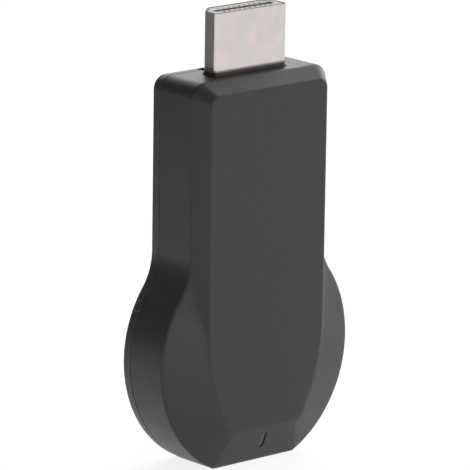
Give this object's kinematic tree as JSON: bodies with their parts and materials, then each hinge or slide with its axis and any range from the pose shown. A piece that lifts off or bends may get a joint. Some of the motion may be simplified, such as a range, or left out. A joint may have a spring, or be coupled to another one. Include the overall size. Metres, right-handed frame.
{
  "type": "wifi display dongle",
  "caption": "Flat charcoal display dongle with a straight stem, a round lower end, a display plug on top, a power socket below and a small side button.",
  "frame": {"origin": "middle of the flat lower end, at the foot of the housing", "axes": "+Z along the dongle towards the plug, +Y from the front panel to the back, +X to the right as the front is faced"},
  "size_m": [0.0364, 0.0116, 0.0684],
  "materials": {
    "housing_plastic": "fine matte texture",
    "button_plastic": "fine matte texture",
    "smoked_plastic": "smoked, lightly frosted",
    "plug_steel": "nickel plated, lightly scuffed",
    "socket_steel": "nickel plated",
    "pale_plastic": "moulded",
    "black_plastic": "moulded",
    "gold_plate": "plated",
    "board_laminate": "solder mask",
    "radio_laminate": "solder mask",
    "chip_resin": "moulded resin",
    "tin_plate": "tinned",
    "spreader_aluminium": "milled",
    "pad_silicone": "soft",
    "ceramic": "fired",
    "ferrite": "sintered",
    "tantalum_resin": "moulded resin",
    "led_resin": "clear"
  },
  "bodies": {
    "housing": {"front_shell": "housing_plastic", "rear_cover": "housing_plastic", "light_pipe": "smoked_plastic", "plug_shell": "plug_steel", "plug_insulator": "pale_plastic", "plug_contacts_front": "gold_plate", "plug_contacts_back": "gold_plate", "usb_shell": "socket_steel", "usb_tongue": "black_plastic", "usb_contacts": "gold_plate", "main_board": "board_laminate", "processor": "chip_resin", "thermal_pad": "pad_silicone", "heat_spreader": "spreader_aluminium", "memory_chip": "chip_resin", "flash_chip": "chip_resin", "flash_leads": "tin_plate", "wifi_board": "radio_laminate", "wifi_can": "tin_plate", "chip_antenna": "ceramic", "crystal": "tin_plate", "power_inductor": "ferrite", "regulator": "chip_resin", "regulator_leads": "tin_plate", "tantalum_capacitor": "tantalum_resin", "status_led": "led_resin", "plug_guard_chips": "chip_resin", "ceramic_capacitors": "ceramic", "resistors": "chip_resin", "switch_body": "black_plastic", "switch_cover": "tin_plate"},
    "button": {"side_button": "button_plastic"},
    "plunger": {"switch_plunger": "pale_plastic"}
  },
  "joints": [
    {"name": "button_press", "type": "slide", "parent": "housing", "child": "button", "axis": [0.891, 0, -0.454], "range_m": [0, 0.00025], "stiffness_N_per_m": 1200, "springref_m": -0.0002},
    {"name": "plunger_press", "type": "slide", "parent": "housing", "child": "plunger", "axis": [0.891, 0, -0.454], "range_m": [0, 0.00025]}
  ],
  "couplings": [
    {"joint": "plunger_press", "follows": "button_press", "ratio": 1}
  ]
}
